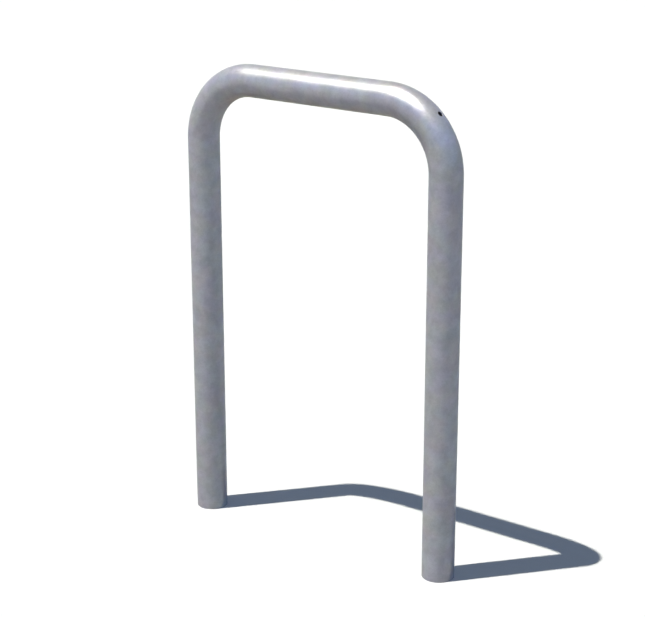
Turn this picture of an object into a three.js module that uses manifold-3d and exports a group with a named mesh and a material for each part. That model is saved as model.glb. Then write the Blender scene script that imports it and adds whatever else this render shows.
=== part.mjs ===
// Hoop bike rack: one length of round steel tube, bent twice into an upside-down U and hot-dip galvanised.
// Its legs run on below the ground, where each one is cast into concrete together with a loose cross bar.
// Millimetres. +Z is up and +X runs along the hoop; the origin is on the ground, midway between the legs.

import * as THREE from "three";
import { mergeVertices, toCreasedNormals } from "three/addons/utils/BufferGeometryUtils.js";
import Module from "manifold-3d";

// The tube and the hoop that it is bent into
const TUBE_DIAMETER = 60;
const TUBE_WALL = 3;
const OVERALL_WIDTH = 600; // over the outsides of the legs
const HEIGHT_ABOVE_GROUND = 900;
const BEND_RADIUS = 120; // to the tube's centre line
const ROOT_DEPTH = 250; // from the ground down to the open end of each leg

// The vent hole on the outside of the right bend, where air leaves the tube in the zinc bath
const VENT_DIAMETER = 10;
const VENT_BEND_SHARE = 0.5;

// The ribbed anchor bars, one through each root, square to the hoop
const ANCHOR_BAR_CORE_DIAMETER = 12;
const ANCHOR_BAR_RIB_HEIGHT = 0.8;
const ANCHOR_BAR_LENGTH = 150;
const ANCHOR_BAR_CHAMFER = 1;

// The holes that the anchor bars are pushed through
const ANCHOR_HOLE_RISE = 50; // from the end of the leg up to the middle of the hole
const ANCHOR_HOLE_CLEARANCE = 1.2; // all round a bar in the middle of its hole
const ANCHOR_SEAT_GAP = 0.3; // under the bar, which lies in the bottom of its hole

// How far every drill runs on past the metal
const DRILL_OVERRUN = 5;

// How finely the round shapes are faceted
const TUBE_FACETS = 48;
const BEND_STEPS = 12;
const DRILL_FACETS = 24;
const BAR_FACETS = 24;
const CREASE_ANGLE = Math.PI / 6;

const tubeRadius = TUBE_DIAMETER / 2;
const boreRadius = tubeRadius - TUBE_WALL;
const legX = OVERALL_WIDTH / 2 - tubeRadius;
const topBarZ = HEIGHT_ABOVE_GROUND - tubeRadius;
const bendCentreX = legX - BEND_RADIUS;
const bendCentreZ = topBarZ - BEND_RADIUS;

const anchorBarRadius = ANCHOR_BAR_CORE_DIAMETER / 2 + ANCHOR_BAR_RIB_HEIGHT;
const anchorHoleRadius = anchorBarRadius + ANCHOR_HOLE_CLEARANCE;
const anchorHoleZ = ANCHOR_HOLE_RISE - ROOT_DEPTH;
const anchorBarZ = anchorHoleZ - ANCHOR_HOLE_CLEARANCE + ANCHOR_SEAT_GAP;

const LEFT = -1;
const RIGHT = 1;
const QUARTER_TURN = Math.PI / 2;

const galvanisedSteel = new THREE.MeshStandardMaterial({
  color: 0x9b9da2,
  roughness: 0.42,
  metalness: 0.75,
});
const bareSteel = new THREE.MeshStandardMaterial({
  color: 0x5e5752,
  roughness: 0.68,
  metalness: 0.55,
});

const wasm = await Module();
wasm.setup();

// A closed geometry as a solid that can be cut.
function toSolid(geometry) {
  const bare = geometry.clone();
  bare.deleteAttribute("normal");
  bare.deleteAttribute("uv");
  const merged = mergeVertices(bare);
  return new wasm.Manifold(
    new wasm.Mesh({
      numProp: 3,
      vertProperties: merged.attributes.position.array,
      triVerts: new Uint32Array(merged.index.array),
    }),
  );
}

// A solid as a geometry, shaded smooth but for its sharp edges.
function toGeometry(solid) {
  const { vertProperties, triVerts } = solid.getMesh();
  const geometry = new THREE.BufferGeometry();
  geometry.setAttribute("position", new THREE.BufferAttribute(vertProperties, 3));
  geometry.setIndex(new THREE.BufferAttribute(triVerts, 1));
  return toCreasedNormals(geometry, CREASE_ANGLE);
}

// A path for an extrusion that takes one step from each station to the next, however far apart they are.
class StationPath extends THREE.Curve {
  constructor(stations) {
    super();
    this.stations = stations;
    this.steps = stations.length - 1;
  }

  stationAt(u) {
    return this.stations[Math.round(u * this.steps)];
  }

  getPointAt(u, target = new THREE.Vector3()) {
    return target.copy(this.stationAt(u).point);
  }

  getTangentAt(u, target = new THREE.Vector3()) {
    return target.copy(this.stationAt(u).tangent);
  }
}

// The open end of a leg. The path climbs the left leg and comes down the right one.
function legEnd(side) {
  return {
    point: new THREE.Vector3(side * legX, 0, -ROOT_DEPTH),
    tangent: new THREE.Vector3(0, 0, -side),
  };
}

// A station a share of the way round a bend, where outward points away from the bend's centre.
function bendStation(side, share) {
  const heading = QUARTER_TURN * (side === LEFT ? share : share + 1);
  const tangent = new THREE.Vector3(Math.sin(heading), 0, Math.cos(heading));
  const outward = new THREE.Vector3(-Math.cos(heading), 0, Math.sin(heading));
  const centre = new THREE.Vector3(side * bendCentreX, 0, bendCentreZ);
  return { point: centre.addScaledVector(outward, BEND_RADIUS), tangent, outward };
}

// The tube's centre line, from the left leg's end over the top to the right leg's end.
function hoopPath() {
  const stations = [legEnd(LEFT)];
  for (const side of [LEFT, RIGHT]) {
    for (let step = 0; step <= BEND_STEPS; step++) {
      stations.push(bendStation(side, step / BEND_STEPS));
    }
  }
  stations.push(legEnd(RIGHT));
  return new StationPath(stations);
}

// The bent tube before it is drilled, open at both ends.
function bentTube() {
  const section = new THREE.Shape().absarc(0, 0, tubeRadius, 0, 2 * Math.PI);
  section.holes.push(new THREE.Path().absarc(0, 0, boreRadius, 0, 2 * Math.PI));
  const path = hoopPath();
  return new THREE.ExtrudeGeometry(section, {
    steps: path.steps,
    curveSegments: TUBE_FACETS / 2, // an arc takes two facets for each of these
    extrudePath: path,
  });
}

// A round cutter that runs from one point to another.
function drill(radius, from, to) {
  const run = to.clone().sub(from);
  const cutter = new THREE.CylinderGeometry(radius, radius, run.length(), DRILL_FACETS);
  const cylinderAxis = new THREE.Vector3(0, 1, 0);
  cutter.applyQuaternion(new THREE.Quaternion().setFromUnitVectors(cylinderAxis, run.normalize()));
  const middle = from.clone().lerp(to, 0.5);
  cutter.translate(middle.x, middle.y, middle.z);
  return toSolid(cutter);
}

// From inside the bore, straight out through the outside wall of the right bend.
function ventDrill() {
  const { point, outward } = bendStation(RIGHT, VENT_BEND_SHARE);
  const outside = point.clone().addScaledVector(outward, tubeRadius + DRILL_OVERRUN);
  return drill(VENT_DIAMETER / 2, point, outside);
}

// Through both walls of a leg, front to back.
function anchorDrill(side) {
  const reach = tubeRadius + DRILL_OVERRUN;
  const front = new THREE.Vector3(side * legX, -reach, anchorHoleZ);
  const back = new THREE.Vector3(side * legX, reach, anchorHoleZ);
  return drill(anchorHoleRadius, front, back);
}

function hoopTube() {
  const drilled = toSolid(bentTube())
    .subtract(ventDrill())
    .subtract(anchorDrill(LEFT))
    .subtract(anchorDrill(RIGHT));
  const mesh = new THREE.Mesh(toGeometry(drilled), galvanisedSteel);
  mesh.name = "hoop_tube";
  return mesh;
}

// A round bar as wide as its ribs, chamfered at both ends, that lies front to back through one leg.
function anchorBar(name, side) {
  const halfLength = ANCHOR_BAR_LENGTH / 2;
  const shoulder = halfLength - ANCHOR_BAR_CHAMFER;
  const endRadius = anchorBarRadius - ANCHOR_BAR_CHAMFER;
  const outline = [
    new THREE.Vector2(0, -halfLength),
    new THREE.Vector2(endRadius, -halfLength),
    new THREE.Vector2(anchorBarRadius, -shoulder),
    new THREE.Vector2(anchorBarRadius, shoulder),
    new THREE.Vector2(endRadius, halfLength),
    new THREE.Vector2(0, halfLength),
  ];
  const mesh = new THREE.Mesh(new THREE.LatheGeometry(outline, BAR_FACETS), bareSteel);
  mesh.name = name;
  mesh.position.set(side * legX, 0, anchorBarZ);
  return mesh;
}

const rack = new THREE.Group();
rack.add(hoopTube());
rack.add(anchorBar("left_anchor_bar", LEFT));
rack.add(anchorBar("right_anchor_bar", RIGHT));

export default rack;
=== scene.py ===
"""The looks of a hoop bike rack: the fine surface of its bent tube and of its ribbed anchor bars, their
metals, and the floor, light and camera.

Metres, +Z up; the origin is on the ground, midway between the legs."""

import math

import bpy
from mathutils import Matrix, Vector


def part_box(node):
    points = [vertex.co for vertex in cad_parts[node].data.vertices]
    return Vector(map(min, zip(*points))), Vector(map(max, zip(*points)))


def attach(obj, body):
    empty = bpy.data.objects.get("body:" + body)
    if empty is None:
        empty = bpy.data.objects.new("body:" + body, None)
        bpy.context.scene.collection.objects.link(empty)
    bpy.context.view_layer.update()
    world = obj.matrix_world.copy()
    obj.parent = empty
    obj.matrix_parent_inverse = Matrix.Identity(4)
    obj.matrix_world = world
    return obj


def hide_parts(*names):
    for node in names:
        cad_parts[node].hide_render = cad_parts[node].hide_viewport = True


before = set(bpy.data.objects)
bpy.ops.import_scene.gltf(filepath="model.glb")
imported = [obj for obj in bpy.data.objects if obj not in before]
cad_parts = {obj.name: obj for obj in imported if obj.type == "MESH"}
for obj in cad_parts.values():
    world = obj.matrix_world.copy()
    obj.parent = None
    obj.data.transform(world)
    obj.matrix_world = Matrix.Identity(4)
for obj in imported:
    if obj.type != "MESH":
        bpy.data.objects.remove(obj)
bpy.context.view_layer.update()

# The hoop, from its solid in the frame
hoop_low, hoop_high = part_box("hoop_tube")
TUBE_RADIUS = (hoop_high.y - hoop_low.y) / 2
LEG_X = hoop_high.x - TUBE_RADIUS
TOP_BAR_Z = hoop_high.z - TUBE_RADIUS
LEG_END_Z = hoop_low.z

# Sizes of the hoop that the solid's box doesn't show
TUBE_WALL = 0.003
BEND_RADIUS = 0.120
VENT_RADIUS = 0.005
VENT_BEND_SHARE = 0.5
ANCHOR_HOLE_RISE = 0.050
ANCHOR_HOLE_RADIUS = 0.008
TUBE_END_ROUNDING = 0.0006
HOLE_ROUNDING = 0.0005

BORE_RADIUS = TUBE_RADIUS - TUBE_WALL
BEND_CENTRE_X = LEG_X - BEND_RADIUS
BEND_CENTRE_Z = TOP_BAR_Z - BEND_RADIUS
ANCHOR_HOLE_Z = LEG_END_Z + ANCHOR_HOLE_RISE

# How finely the tube is meshed
TUBE_SEGMENTS = 96
BEND_STEPS = 48
LEG_STEP = 0.020
END_STEP = 0.005  # between a leg's end and its anchor hole
ROUNDING_STEPS = 4
FAN_SHARES = (0.3, 0.58, 0.8, 0.93)  # rings from a hole's square patch in to its edge
VENT_PATCH = (3, 5)  # half the patch, in steps along the tube and segments round it
ANCHOR_PATCH = (4, 7)
ANCHOR_PATCH_HALF_LENGTH = 0.014

# The anchor bars, whose solids are as wide as their ribs
bar_low, bar_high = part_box("left_anchor_bar")
RIB_HEIGHT = 0.0008
CORE_RADIUS = (bar_high.z - bar_low.z) / 2 - RIB_HEIGHT
RIB_PITCH = 0.0072
RIB_TOP_WIDTH = 0.0012
RIB_FLANK = 0.0008
RIB_SLOPE = 0.65  # how far a rib climbs along the bar for each unit that it goes round
RIB_CRESCENT_POWER = 0.6  # the smaller, the further round a rib keeps its height
LONG_RIB_HALF_ANGLE = math.radians(9)
LONG_RIB_SHARE = 0.8  # a long rib's height, as a share of a cross rib's
RIGHT_RIBS_SHIFT = RIB_PITCH / 3
BAR_CHAMFER = 0.001
BAR_SEGMENTS = 64
BAR_STEP = 0.0004

# The zinc. Scales are in bumps a metre. A range says between which values of its noise a pattern goes from
# one end to the other, and a swing says how far it shifts what it acts on, either way
ZINC_COOL_COLOUR = (0.491, 0.498, 0.523, 1)
ZINC_WARM_COLOUR = (0.505, 0.498, 0.487, 1)
VIOLET_CAST = (1.012, 0.977, 1.012, 1)  # a cast multiplies the colour
GREEN_CAST = (0.988, 1.023, 0.988, 1)
ZINC_METALLIC = 0.237
ZINC_ROUGHNESS = 0.351
ZINC_SPECULAR_LEVEL = 0.0  # no reflection but the metal's own
TINT_SCALE = 28
TINT_RANGE = (0.35, 0.65)
TINT_OFFSET = (3.1, 1.7, 5.3)  # takes the tint's noise from elsewhere, so that it doesn't follow the clouds
CAST_OFFSET = (-4.2, 6.6, 2.9)
CLOUD_SCALE = 40
CLOUD_DETAIL = 3
CLOUD_DISTORTION = 0.3
CLOUD_RANGE = (0.28, 0.72)
CLOUD_SWING = 0.084
CLOUD_ROUGHNESS_SWING = 0.014
CRYSTAL_SCALE = 170
CRYSTAL_SWING = 0.03
CRYSTAL_ROUGHNESS_SWING = 0.02
CRYSTAL_EDGE_SCALE = 300
CRYSTAL_EDGE_SHIFT = 0.006  # how far the crystals' edges wander, in metres
SPECK_SCALE = 420
SPECK_DETAIL = 3
SPECK_FINENESS = 0.6  # how much each finer layer of bumps counts beside the one before
SPECK_RANGE = (0.3, 0.7)
SPECK_SWING = 0.045
WAVE_SCALE = 34
WAVE_DETAIL = 1
WAVE_STRENGTH = 1.0
WAVE_HEIGHT = 0.0003
GRAIN_SCALE = 900
GRAIN_STRENGTH = 0.25
GRAIN_HEIGHT = 0.00008
BORE_DUST_AND_SHADE = 0.2  # how bright the bore and the drilled walls are beside the outside: partly duller, dusty zinc, partly painted shade in the tube's hollow

# The anchor bars' bare steel: mill scale with patches of speckled rust
MILL_SCALE_COLOUR = (0.062, 0.055, 0.052, 1)
RUST_COLOUR = (0.205, 0.085, 0.038, 1)
RUBBED_COLOUR = (0.26, 0.235, 0.215, 1)
MILL_SCALE_METALLIC = 0.75
RUST_METALLIC = 0.15
MILL_SCALE_ROUGHNESS = 0.5
RUST_ROUGHNESS = 0.85
RUST_PATCH_SCALE = 110
RUST_PATCH_DETAIL = 4
RUST_PATCH_FINENESS = 0.6
RUST_PATCH_RANGE = (0.46, 0.62)
SPECKLE_SCALE = 1200
SPECKLE_RANGE = (0.3, 0.6)
SPECKLE_LEAST_SHARE = 0.6  # how much of the rust is left where the speckle is thinnest
SPECKLE_STRENGTH = 0.5
SPECKLE_HEIGHT = 0.0001
RUBBED_RISE_RANGE = (0.75, 1.0)  # from where on a rib's side up to where it is rubbed bright
RUBBED_PATCH_RANGE = (0.6, 0.42)  # falls, because what is rusty isn't rubbed

# The photograph's camera. Azimuth 0 looks along +Y
CAMERA_AZIMUTH = math.radians(36.63)
CAMERA_ELEVATION = math.radians(17.70)
CAMERA_ROLL = math.radians(-0.107)
CAMERA_DISTANCE = 3.085
CAMERA_TARGET = Vector((0.0074, 0, 0.4647))
CAMERA_LENS = 93.56  # in millimetres, and so is the sensor's width
CAMERA_SENSOR = 36

# The sun, and a wide lamp beside it that gives only the highlight along the top of the hoop
SUN_AZIMUTH = math.radians(-39.78)
SUN_ELEVATION = math.radians(69.62)
SUN_COLOUR = (1.0, 0.983, 0.899)
SUN_STRENGTH = 3.19
SUN_ANGLE = math.radians(0.6)
GLOSS_AZIMUTH = math.radians(-33.7)
GLOSS_ELEVATION = math.radians(67.8)
GLOSS_STRENGTH = 10.2
GLOSS_ANGLE = math.radians(44)

# The world as it is seen, straight or in the metal
BACKGROUND_COLOUR = (1.0, 1.0, 1.0, 1)
BLUE_SKY_COLOUR = (0.448, 0.752, 1.607, 1)
DIM_SKY_COLOUR = (0.205, 0.088, 0.232, 1)
DIM_SKY_AZIMUTH = math.radians(225)
DIM_SKY_ELEVATION = math.radians(70)

# The world as it lights the rack and the floor
HORIZON_LIGHT_COLOUR = (0.300, 0.750, 1.700, 1)
FRONT_LIGHT_COLOUR = (0.620, 0.840, 1.860, 1)
FRONT_AZIMUTH = math.radians(-20)
SKY_LIGHT_COLOUR = (0.094, 0.108, 0.118, 1)

# Sines of the heights where the horizon starts to fade and where it has gone, seen and as a light
HORIZON_TOP = 0.13
SKY_BOTTOM = 0.30

# The floor, whose bounce is what it throws back at the rack
FLOOR_HALF_SIZE = 60
FLOOR_COLOUR = (0.98, 0.98, 0.98, 1)
FLOOR_BOUNCE_COLOUR = (0.183, 0.128, 0.027, 1)
CAMERA_REACH = 4 * FLOOR_HALF_SIZE  # past the floor's far corner

UP = Vector((0, 0, 1))
SIDEWAYS = Vector((0, 1, 0))
LEFT, RIGHT = -1, 1
OUTSIDE, INSIDE = 0, 1
QUARTER_TURN = math.pi / 2


# Mesh building

class Skin:
    """The points and faces of one mesh, built ring by ring, with one attribute's value at each point."""

    def __init__(self, attribute):
        self.points = []
        self.faces = []
        self.attribute = attribute
        self.values = []

    def ring(self, points, values):
        """Adds points with their values, and gives back their numbers in the mesh."""
        first = len(self.points)
        self.points.extend(points)
        self.values.extend(values)
        return list(range(first, len(self.points)))

    def even_ring(self, points, value):
        """A ring with the same value at all its points."""
        return self.ring(points, [value] * len(points))

    def stitch(self, ring_a, ring_b):
        """Quads between two closed rings of as many points each."""
        for k in range(len(ring_a)):
            n = (k + 1) % len(ring_a)
            self.faces.append((ring_a[k], ring_a[n], ring_b[n], ring_b[k]))

    def stitch_all(self, rings):
        for ring_a, ring_b in zip(rings, rings[1:]):
            self.stitch(ring_a, ring_b)

    def cap(self, ring, middle):
        """Triangles from a closed ring to one point, where the value is zero."""
        tip = self.ring([middle], [0])[0]
        for k in range(len(ring)):
            self.faces.append((ring[k], ring[(k + 1) % len(ring)], tip))

    def to_object(self, name):
        mesh = bpy.data.meshes.new(name)
        mesh.from_pydata(self.points, [], self.faces)
        mesh.attributes.new(self.attribute, "FLOAT", "POINT").data.foreach_set("value", self.values)
        mesh.shade_smooth()
        piece = bpy.data.objects.new(name, mesh)
        bpy.context.scene.collection.objects.link(piece)
        bpy.context.view_layer.objects.active = piece
        bpy.ops.object.select_all(action="DESELECT")
        piece.select_set(True)
        bpy.ops.object.mode_set(mode="EDIT")
        bpy.ops.mesh.select_all(action="SELECT")
        bpy.ops.mesh.normals_make_consistent(inside=False)
        bpy.ops.object.mode_set(mode="OBJECT")
        return piece


# The hoop

class Station:
    """A place on the tube's centre line, with the directions along the tube and out of its bend."""

    def __init__(self, centre, along, outward):
        self.centre = centre
        self.along = along
        self.outward = outward

    def around(self, radius):
        """A ring of points round the tube, the first one on the outside of the bend."""
        points = []
        for k in range(TUBE_SEGMENTS):
            angle = 2 * math.pi * k / TUBE_SEGMENTS
            out = self.outward * math.cos(angle) + SIDEWAYS * math.sin(angle)
            points.append(self.centre + out * radius)
        return points


def even_steps(start, end, count):
    """As many evenly spaced places as the count, from start, up to but without end."""
    return [start + (end - start) * k / count for k in range(count)]


def short_steps(start, end, longest):
    """As few even steps as there can be, with none longer than the longest."""
    return even_steps(start, end, max(1, math.ceil(abs(end - start) / longest)))


def leg_heights():
    """Heights of a leg's stations from its end up to the bend, close together round the anchor hole."""
    patch_low = ANCHOR_HOLE_Z - ANCHOR_PATCH_HALF_LENGTH
    patch_high = ANCHOR_HOLE_Z + ANCHOR_PATCH_HALF_LENGTH
    heights = short_steps(LEG_END_Z + TUBE_END_ROUNDING, patch_low, END_STEP)
    heights += even_steps(patch_low, patch_high, 2 * ANCHOR_PATCH[0])
    heights += short_steps(patch_high, BEND_CENTRE_Z, LEG_STEP)
    return heights


def leg_station(side, height):
    return Station(Vector((side * LEG_X, 0, height)), -side * UP, Vector((side, 0, 0)))


def bend_station(side, share):
    """A station a share of the way round a bend."""
    heading = QUARTER_TURN * (share + (0 if side == LEFT else 1))
    along = Vector((math.sin(heading), 0, math.cos(heading)))
    outward = Vector((-math.cos(heading), 0, math.sin(heading)))
    centre = Vector((side * BEND_CENTRE_X, 0, BEND_CENTRE_Z)) + outward * BEND_RADIUS
    return Station(centre, along, outward)


def hoop_stations():
    """Stations from the left leg's end over the top to the right leg's end."""
    heights = leg_heights()
    stations = [leg_station(LEFT, height) for height in heights]
    stations += [bend_station(LEFT, step / BEND_STEPS) for step in range(BEND_STEPS)]
    for x in short_steps(-BEND_CENTRE_X, BEND_CENTRE_X, LEG_STEP):
        stations.append(Station(Vector((x, 0, TOP_BAR_Z)), Vector((1, 0, 0)), UP))
    stations += [bend_station(RIGHT, step / BEND_STEPS) for step in range(BEND_STEPS + 1)]
    stations += [leg_station(RIGHT, height) for height in reversed(heights)]
    return stations


def rounding_turn(step):
    """How far round a rounded edge a step is."""
    return QUARTER_TURN * step / ROUNDING_STEPS


class Hole:
    """A round hole drilled straight in from outside, with the square patch of wall that it is cut in."""

    def __init__(self, station, axis, radius, patch, bend_radius=None):
        self.origin = station.centre
        self.along = station.along
        self.axis = axis
        self.across = axis.cross(station.along)
        self.radius = radius
        self.patch = patch
        self.bend_radius = bend_radius

    def offsets(self, point):
        """How far a point is from the drill's axis, along the tube and across it."""
        away = point - self.origin
        return away.dot(self.along), away.dot(self.across)

    def on_wall(self, u, v, wall_radius):
        """The point of a wall at these offsets from the drill's axis."""
        height = math.sqrt(wall_radius**2 - v**2)
        if self.bend_radius:
            height = math.sqrt((self.bend_radius + height) ** 2 - u**2) - self.bend_radius
        return self.origin + self.along * u + self.across * v + self.axis * height

    def fan(self, edge, wall_radius, share):
        """A ring between the patch's edge, at share 0, and the round edge of the hole, at share 1."""
        points = []
        for point in edge:
            u, v = self.offsets(point)
            shrink = (self.radius + HOLE_ROUNDING) / math.hypot(u, v)
            scale = 1 + (shrink - 1) * share
            points.append(self.on_wall(u * scale, v * scale, wall_radius))
        return points

    def rim(self, edge, wall_radius, turn, inwards):
        """A ring of the rounded edge, from turn 0 on the wall to a quarter turn inside the hole."""
        points = []
        for point in edge:
            u, v = self.offsets(point)
            radius = self.radius + HOLE_ROUNDING * (1 - math.sin(turn))
            scale = radius / math.hypot(u, v)
            depth = HOLE_ROUNDING * (1 - math.cos(turn))
            points.append(self.on_wall(u * scale, v * scale, wall_radius) - self.axis * depth * inwards)
        return points

    def wall_side(self, edge, wall_radius, inwards):
        """The rings from a wall's patch edge to the straight part of the hole."""
        rings = [self.fan(edge, wall_radius, share) for share in FAN_SHARES]
        turns = [rounding_turn(step) for step in range(ROUNDING_STEPS + 1)]
        return rings + [self.rim(edge, wall_radius, turn, inwards) for turn in turns]


def patch_loop(row, column, patch):
    """Grid places round the edge of a patch, in order."""
    a, b = patch
    loop = [(row + a, column + k) for k in range(-b, b)]
    loop += [(row + a - k, column + b) for k in range(2 * a)]
    loop += [(row - a, column + b - k) for k in range(2 * b)]
    loop += [(row - a + k, column - b) for k in range(2 * a)]
    return [(i, j % TUBE_SEGMENTS) for i, j in loop]


def patch_cells(row, column, patch):
    """The grid cells that a patch takes out of a wall."""
    a, b = patch
    rows = range(row - a, row + a)
    columns = range(column - b, column + b)
    return {(i, j % TUBE_SEGMENTS) for i in rows for j in columns}


def hoop_holes(stations):
    """Each hole with its place in the grid of the walls."""
    def nearest(target):
        return min(range(len(stations)), key=lambda i: (stations[i].centre - target).length)

    vent = bend_station(RIGHT, VENT_BEND_SHARE)
    holes = [(Hole(vent, vent.outward, VENT_RADIUS, VENT_PATCH, BEND_RADIUS), nearest(vent.centre), 0)]
    quarter = TUBE_SEGMENTS // 4
    for side in (LEFT, RIGHT):
        station = leg_station(side, ANCHOR_HOLE_Z)
        row = nearest(station.centre)
        for axis, column in ((SIDEWAYS, quarter), (-SIDEWAYS, 3 * quarter)):
            holes.append((Hole(station, axis, ANCHOR_HOLE_RADIUS, ANCHOR_PATCH), row, column))
    return holes


def wall_faces(skin, grid, cut_cells):
    """The faces of a whole wall, but for the cells that the patches take out."""
    for i in range(len(grid) - 1):
        for j in range(TUBE_SEGMENTS):
            if (i, j) not in cut_cells:
                n = (j + 1) % TUBE_SEGMENTS
                skin.faces.append((grid[i][j], grid[i + 1][j], grid[i + 1][n], grid[i][n]))


def hole_faces(skin, hole, row, column, outer_grid, inner_grid):
    """The walls round a hole, outside and in the bore, joined by the straight wall of the hole itself."""
    loop = patch_loop(row, column, hole.patch)

    def side(grid, wall_radius, inwards, value):
        edge = [grid[i][j] for i, j in loop]
        *on_wall, in_hole = hole.wall_side([skin.points[k] for k in edge], wall_radius, inwards)
        rings = [skin.even_ring(points, value) for points in on_wall]
        return [edge] + rings + [skin.even_ring(in_hole, INSIDE)]

    outer_side = side(outer_grid, TUBE_RADIUS, 1, OUTSIDE)
    inner_side = side(inner_grid, BORE_RADIUS, -1, INSIDE)
    skin.stitch_all(outer_side + inner_side[::-1])


def end_faces(skin, station, outer_ring, inner_ring):
    """The rounded, flat-faced open end of a leg."""
    rings = [outer_ring]
    for step in range(1, ROUNDING_STEPS + 1):
        rings.append(end_ring(skin, station, TUBE_RADIUS, -1, rounding_turn(step)))
    for step in range(ROUNDING_STEPS, 0, -1):
        rings.append(end_ring(skin, station, BORE_RADIUS, 1, rounding_turn(step)))
    rings.append(inner_ring)
    skin.stitch_all(rings)


def end_ring(skin, station, wall_radius, into_wall, turn):
    """A ring of a leg's rounded end, from turn 0 on the wall to a quarter turn on the flat face."""
    radius = wall_radius + into_wall * TUBE_END_ROUNDING * (1 - math.cos(turn))
    drop = UP * TUBE_END_ROUNDING * math.sin(turn)
    return skin.even_ring([point - drop for point in station.around(radius)], OUTSIDE)


def hoop_surface():
    """The whole skin of the bent tube, outside, bore, holes and ends, as one closed mesh."""
    skin = Skin("inside")
    stations = hoop_stations()
    outer_grid = [skin.even_ring(station.around(TUBE_RADIUS), OUTSIDE) for station in stations]
    inner_grid = [skin.even_ring(station.around(BORE_RADIUS), INSIDE) for station in stations]
    holes = hoop_holes(stations)
    cut_cells = set()
    for hole, row, column in holes:
        cut_cells |= patch_cells(row, column, hole.patch)
    wall_faces(skin, outer_grid, cut_cells)
    wall_faces(skin, inner_grid, cut_cells)
    for hole, row, column in holes:
        hole_faces(skin, hole, row, column, outer_grid, inner_grid)
    for end in (0, -1):
        end_faces(skin, stations[end], outer_grid[end], inner_grid[end])
    drop_loose_points(skin)
    return skin.to_object("galvanised_hoop")


def drop_loose_points(skin):
    """Takes out the points that no face uses, which the patches leave behind."""
    used = sorted({k for face in skin.faces for k in face})
    place = {k: n for n, k in enumerate(used)}
    skin.points = [skin.points[k] for k in used]
    skin.values = [skin.values[k] for k in used]
    skin.faces = [tuple(place[k] for k in face) for face in skin.faces]


# The anchor bars

def smooth_step(x):
    """Zero up to 0, one from 1, and a smooth rise between."""
    x = min(1, max(0, x))
    return x * x * (3 - 2 * x)


def rib_rise(angle, distance):
    """How far the surface stands above the core, as a share of a rib's height, at an angle round the bar
    and a distance along it."""
    row = 0 if math.cos(angle) > 0 else 1
    crescent = abs(math.cos(angle)) ** RIB_CRESCENT_POWER
    climb = RIB_SLOPE * CORE_RADIUS * math.sin(angle)
    along = (distance + climb + row * RIB_PITCH / 2) % RIB_PITCH
    from_middle = abs(along - RIB_PITCH / 2)
    cross_rib = crescent * smooth_step(1 - (from_middle - RIB_TOP_WIDTH / 2) / RIB_FLANK)

    # A long rib is full out to its half angle and gone at twice that
    from_side = abs(abs(math.atan2(math.sin(angle), math.cos(angle))) - QUARTER_TURN)
    long_rib = LONG_RIB_SHARE * smooth_step(2 - from_side / LONG_RIB_HALF_ANGLE)
    return max(cross_rib, long_rib)


def anchor_bar(node, name, shift):
    """A ribbed bar where the frame has the node, with its ribs shifted along it."""
    low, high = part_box(node)
    middle = (low + high) / 2
    half_length = (high.y - low.y) / 2
    skin = Skin("rise")

    def ring(y, inset):
        points = []
        rises = []
        for k in range(BAR_SEGMENTS):
            angle = 2 * math.pi * k / BAR_SEGMENTS
            rise = rib_rise(angle, y + shift)
            radius = CORE_RADIUS + RIB_HEIGHT * rise - inset
            points.append(middle + Vector((math.cos(angle) * radius, y, math.sin(angle) * radius)))
            rises.append(rise)
        return skin.ring(points, rises)

    shoulder = half_length - BAR_CHAMFER
    count = round(2 * shoulder / BAR_STEP)
    rings = [ring(-half_length, BAR_CHAMFER)]
    rings += [ring(-shoulder + 2 * shoulder * k / count, 0) for k in range(count + 1)]
    rings.append(ring(half_length, BAR_CHAMFER))
    skin.stitch_all(rings)
    for end, last in ((-1, rings[0]), (1, rings[-1])):
        skin.cap(last, middle + SIDEWAYS * half_length * end)
    return skin.to_object(name)


# Materials

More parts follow.
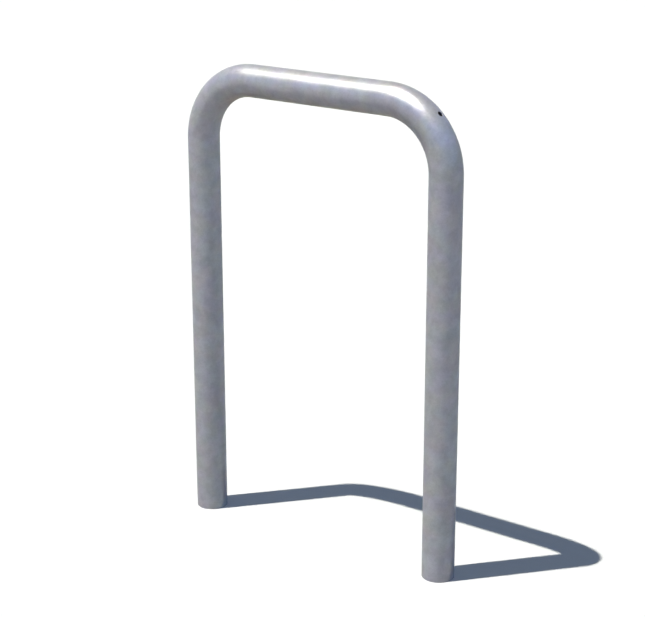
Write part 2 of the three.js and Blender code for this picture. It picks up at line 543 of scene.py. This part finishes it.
class Nodes:
    """The node tree of a material or a world, with short ways to add and join nodes."""

    # The places of a Mix node's colour sockets, whose names other sockets have too
    MIX_A, MIX_B, MIX_RESULT = 6, 7, 2

    def __init__(self, owner):
        owner.use_nodes = True
        self.tree = owner.node_tree
        self.tree.nodes.clear()

    def add(self, kind, inputs=None, **settings):
        """A new node with these inputs, each a value or another node's output, and these settings."""
        node = self.tree.nodes.new(kind)
        for name, value in settings.items():
            setattr(node, name, value)
        for name, value in (inputs or {}).items():
            self.put(node.inputs[name], value)
        return node

    def put(self, socket, value):
        if isinstance(value, bpy.types.NodeSocket):
            self.tree.links.new(value, socket)
        else:
            socket.default_value = value

    def noise(self, place, scale, detail=2.0, roughness=0.5, distortion=0.0):
        settings = {"Vector": place, "Scale": scale, "Detail": detail}
        settings |= {"Roughness": roughness, "Distortion": distortion}
        return self.add("ShaderNodeTexNoise", settings).outputs["Fac"]

    def range(self, value, low, high, to_low=0.0, to_high=1.0):
        """A value that goes smoothly between two ends as another one goes from low to high."""
        settings = {"Value": value, "From Min": low, "From Max": high}
        settings |= {"To Min": to_low, "To Max": to_high}
        return self.add("ShaderNodeMapRange", settings, interpolation_type="SMOOTHSTEP").outputs["Result"]

    def swing(self, value, low, high, middle, swing):
        """A value that swings either way of a middle as another one goes from low to high."""
        return self.range(value, low, high, middle - swing, middle + swing)

    def math(self, operation, a, b):
        return self.add("ShaderNodeMath", {0: a, 1: b}, operation=operation).outputs[0]

    def times(self, a, b):
        return self.math("MULTIPLY", a, b)

    def moved(self, place, shift):
        return self.add("ShaderNodeVectorMath", {0: place, 1: shift}).outputs[0]

    def scaled(self, vector, scale):
        return self.add("ShaderNodeVectorMath", {0: vector, "Scale": scale}, operation="SCALE").outputs[0]

    def mix(self, share, a, b, blend="MIX"):
        """A colour that is a where the share is zero and b, or b blended with a, where it is one."""
        node = self.add("ShaderNodeMix", data_type="RGBA", blend_type=blend)
        self.put(node.inputs["Factor"], share)
        self.put(node.inputs[self.MIX_A], a)
        self.put(node.inputs[self.MIX_B], b)
        return node.outputs[self.MIX_RESULT]

    def towards(self, way, goal):
        """The cosine of the angle between two directions."""
        return self.add("ShaderNodeVectorMath", {0: way, 1: goal}, operation="DOT_PRODUCT").outputs["Value"]

    def bump(self, height, strength, distance, before=None):
        """A bumpy normal, on top of the bumps that came before it."""
        settings = {"Height": height, "Strength": strength, "Distance": distance}
        if before:
            settings["Normal"] = before
        return self.add("ShaderNodeBump", settings).outputs["Normal"]


def zinc_crystals(nodes, place):
    """A value for each crystal of the zinc, from zero to one, with crooked edges between them."""
    wander = nodes.add("ShaderNodeTexNoise", {"Vector": place, "Scale": CRYSTAL_EDGE_SCALE})
    crooked = nodes.moved(place, nodes.scaled(wander.outputs["Color"], CRYSTAL_EDGE_SHIFT))
    cells = nodes.add("ShaderNodeTexVoronoi", {"Vector": crooked, "Scale": CRYSTAL_SCALE})
    return nodes.add("ShaderNodeSeparateColor", {"Color": cells.outputs["Color"]}).outputs["Red"]


def zinc_colour(nodes, place):
    """A grey that wanders from cool to warm and, in other places, from violet to green."""
    warmth = nodes.range(nodes.noise(nodes.moved(place, TINT_OFFSET), TINT_SCALE), *TINT_RANGE)
    greenness = nodes.range(nodes.noise(nodes.moved(place, CAST_OFFSET), TINT_SCALE), *TINT_RANGE)
    grey = nodes.mix(warmth, ZINC_COOL_COLOUR, ZINC_WARM_COLOUR)
    cast = nodes.mix(greenness, VIOLET_CAST, GREEN_CAST)
    return nodes.mix(1.0, grey, cast, blend="MULTIPLY")


def galvanised_steel():
    """Dull grey zinc: cloudy, faintly tinted, with soft crystals, fine specks and a slightly wavy skin, and
    a bore darkened by dust and painted shade.
    """
    material = bpy.data.materials.new("galvanised_steel")
    nodes = Nodes(material)
    place = nodes.add("ShaderNodeTexCoord").outputs["Object"]
    inside = nodes.add("ShaderNodeAttribute", attribute_name="inside").outputs["Fac"]
    cloud = nodes.noise(place, CLOUD_SCALE, detail=CLOUD_DETAIL, distortion=CLOUD_DISTORTION)
    speck = nodes.noise(place, SPECK_SCALE, detail=SPECK_DETAIL, roughness=SPECK_FINENESS)
    crystal = zinc_crystals(nodes, place)

    shade = nodes.swing(cloud, *CLOUD_RANGE, 1, CLOUD_SWING)
    shade = nodes.times(shade, nodes.swing(crystal, 0, 1, 1, CRYSTAL_SWING))
    shade = nodes.times(shade, nodes.swing(speck, *SPECK_RANGE, 1, SPECK_SWING))
    # Darkens the bore and the drilled walls: partly duller, dusty zinc, partly painted shade in the tube's
    # hollow
    shade = nodes.times(shade, nodes.range(inside, 0, 1, 1, BORE_DUST_AND_SHADE))

    cloud_roughness = nodes.swing(cloud, *CLOUD_RANGE, ZINC_ROUGHNESS, -CLOUD_ROUGHNESS_SWING)
    crystal_roughness = nodes.swing(crystal, 0, 1, 0, CRYSTAL_ROUGHNESS_SWING)

    wave = nodes.noise(place, WAVE_SCALE, detail=WAVE_DETAIL)
    grain = nodes.noise(place, GRAIN_SCALE)
    wavy = nodes.bump(wave, WAVE_STRENGTH, WAVE_HEIGHT)

    surface = nodes.add("ShaderNodeBsdfPrincipled", {
        "Base Color": nodes.scaled(zinc_colour(nodes, place), shade),
        "Metallic": ZINC_METALLIC,
        "Specular IOR Level": ZINC_SPECULAR_LEVEL,
        "Roughness": nodes.math("ADD", cloud_roughness, crystal_roughness),
        "Normal": nodes.bump(grain, GRAIN_STRENGTH, GRAIN_HEIGHT, before=wavy),
    })
    nodes.add("ShaderNodeOutputMaterial", {"Surface": surface.outputs[0]})
    return material


def bare_steel():
    """Dark mill scale with patches of rust, rubbed bright along the ribs where it isn't rusty."""
    material = bpy.data.materials.new("bare_steel")
    nodes = Nodes(material)
    place = nodes.add("ShaderNodeTexCoord").outputs["Object"]
    rise = nodes.add("ShaderNodeAttribute", attribute_name="rise").outputs["Fac"]
    patches = nodes.noise(place, RUST_PATCH_SCALE, detail=RUST_PATCH_DETAIL, roughness=RUST_PATCH_FINENESS)
    speckle = nodes.noise(place, SPECKLE_SCALE)

    speckled = nodes.range(speckle, *SPECKLE_RANGE, SPECKLE_LEAST_SHARE, 1)
    rust_share = nodes.times(nodes.range(patches, *RUST_PATCH_RANGE), speckled)
    on_ribs = nodes.range(rise, *RUBBED_RISE_RANGE)
    rubbed_share = nodes.times(on_ribs, nodes.range(patches, *RUBBED_PATCH_RANGE))
    colour = nodes.mix(rust_share, MILL_SCALE_COLOUR, RUST_COLOUR)

    surface = nodes.add("ShaderNodeBsdfPrincipled", {
        "Base Color": nodes.mix(rubbed_share, colour, RUBBED_COLOUR),
        "Metallic": nodes.range(rust_share, 0, 1, MILL_SCALE_METALLIC, RUST_METALLIC),
        "Roughness": nodes.range(rust_share, 0, 1, MILL_SCALE_ROUGHNESS, RUST_ROUGHNESS),
        "Normal": nodes.bump(speckle, SPECKLE_STRENGTH, SPECKLE_HEIGHT),
    })
    nodes.add("ShaderNodeOutputMaterial", {"Surface": surface.outputs[0]})
    return material


# Floor, light and camera

def direction(azimuth, elevation):
    """The way back from what is looked at, or lit, towards the camera or the lamp."""
    level = math.cos(elevation)
    return Vector((math.sin(azimuth) * level, -math.cos(azimuth) * level, math.sin(elevation)))


def add_camera():
    camera = bpy.data.cameras.new("camera")
    camera.lens = CAMERA_LENS
    camera.sensor_width = CAMERA_SENSOR
    camera.clip_end = CAMERA_REACH
    stand = bpy.data.objects.new("camera", camera)
    back = direction(CAMERA_AZIMUTH, CAMERA_ELEVATION)
    turn = (-back).to_track_quat("-Z", "Y").to_matrix().to_4x4() @ Matrix.Rotation(CAMERA_ROLL, 4, "Z")
    stand.matrix_world = Matrix.Translation(CAMERA_TARGET + back * CAMERA_DISTANCE) @ turn
    bpy.context.scene.collection.objects.link(stand)
    bpy.context.scene.camera = stand


def add_sun(name, way, strength, angle):
    """A far-off lamp of the sun's colour, this way from the rack and as wide as the angle."""
    lamp = bpy.data.lights.new(name, "SUN")
    lamp.color = SUN_COLOUR
    lamp.energy = strength
    lamp.angle = angle
    sun = bpy.data.objects.new(name, lamp)
    sun.rotation_mode = "QUATERNION"
    sun.rotation_quaternion = (-way).to_track_quat("-Z", "Y")
    bpy.context.scene.collection.objects.link(sun)
    return sun


def background_seen(nodes):
    """One where a thing is seen, straight, in metal or through glass, and zero where it gives light."""
    rays = nodes.add("ShaderNodeLightPath").outputs
    seen = nodes.math("MAXIMUM", rays["Is Camera Ray"], rays["Is Glossy Ray"])
    return nodes.math("MAXIMUM", seen, rays["Is Transmission Ray"])


def add_world():
    """A white horizon under a blue sky, dim on one side, where it is seen, and light from low down."""
    world = bpy.data.worlds.new("world")
    nodes = Nodes(world)
    way = nodes.add("ShaderNodeTexCoord").outputs["Generated"]
    height = nodes.add("ShaderNodeSeparateXYZ", {"Vector": way}).outputs["Z"]
    climb = nodes.range(height, HORIZON_TOP, SKY_BOTTOM)

    to_front = nodes.towards(way, direction(FRONT_AZIMUTH, 0))
    horizon_light = nodes.mix(to_front, HORIZON_LIGHT_COLOUR, FRONT_LIGHT_COLOUR)
    light = nodes.mix(climb, horizon_light, SKY_LIGHT_COLOUR)

    to_dim = nodes.towards(way, direction(DIM_SKY_AZIMUTH, DIM_SKY_ELEVATION))
    sky = nodes.mix(nodes.range(to_dim, 0, 1), BLUE_SKY_COLOUR, DIM_SKY_COLOUR)
    backdrop = nodes.mix(climb, BACKGROUND_COLOUR, sky)

    colour = nodes.mix(background_seen(nodes), light, backdrop)
    background = nodes.add("ShaderNodeBackground", {"Color": colour, "Strength": 1.0})
    nodes.add("ShaderNodeOutputWorld", {"Surface": background.outputs[0]})
    bpy.context.scene.world = world


def floor_material():
    """White where it is seen, straight or in the metal, and dark where its light would fall on the rack."""
    material = bpy.data.materials.new("floor")
    nodes = Nodes(material)
    white = nodes.add("ShaderNodeBsdfDiffuse", {"Color": FLOOR_COLOUR}).outputs[0]
    bounce = nodes.add("ShaderNodeBsdfDiffuse", {"Color": FLOOR_BOUNCE_COLOUR}).outputs[0]
    mixed = nodes.add("ShaderNodeMixShader", {0: background_seen(nodes), 1: bounce, 2: white}).outputs[0]
    nodes.add("ShaderNodeOutputMaterial", {"Surface": mixed})
    return material


def add_floor():
    half = FLOOR_HALF_SIZE
    corners = [(-half, -half, 0), (half, -half, 0), (half, half, 0), (-half, half, 0)]
    mesh = bpy.data.meshes.new("floor")
    mesh.from_pydata(corners, [], [(0, 1, 2, 3)])
    mesh.materials.append(floor_material())
    floor = bpy.data.objects.new("floor", mesh)
    bpy.context.scene.collection.objects.link(floor)


def dress(piece, material, node):
    """Gives a piece its metal and its place in the frame."""
    piece.data.materials.append(material)
    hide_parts(node)
    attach(piece, "root")


add_camera()
add_world()
add_floor()
add_sun("sun", direction(SUN_AZIMUTH, SUN_ELEVATION), SUN_STRENGTH, SUN_ANGLE)
gloss = add_sun("gloss", direction(GLOSS_AZIMUTH, GLOSS_ELEVATION), GLOSS_STRENGTH, GLOSS_ANGLE)
gloss.visible_diffuse = False
bpy.context.scene.view_settings.view_transform = "Standard"

zinc = galvanised_steel()
steel = bare_steel()
dress(hoop_surface(), zinc, "hoop_tube")
left_bar = anchor_bar("left_anchor_bar", "left_ribbed_bar", 0)
right_bar = anchor_bar("right_anchor_bar", "right_ribbed_bar", RIGHT_RIBS_SHIFT)
dress(left_bar, steel, "left_anchor_bar")
dress(right_bar, steel, "right_anchor_bar")
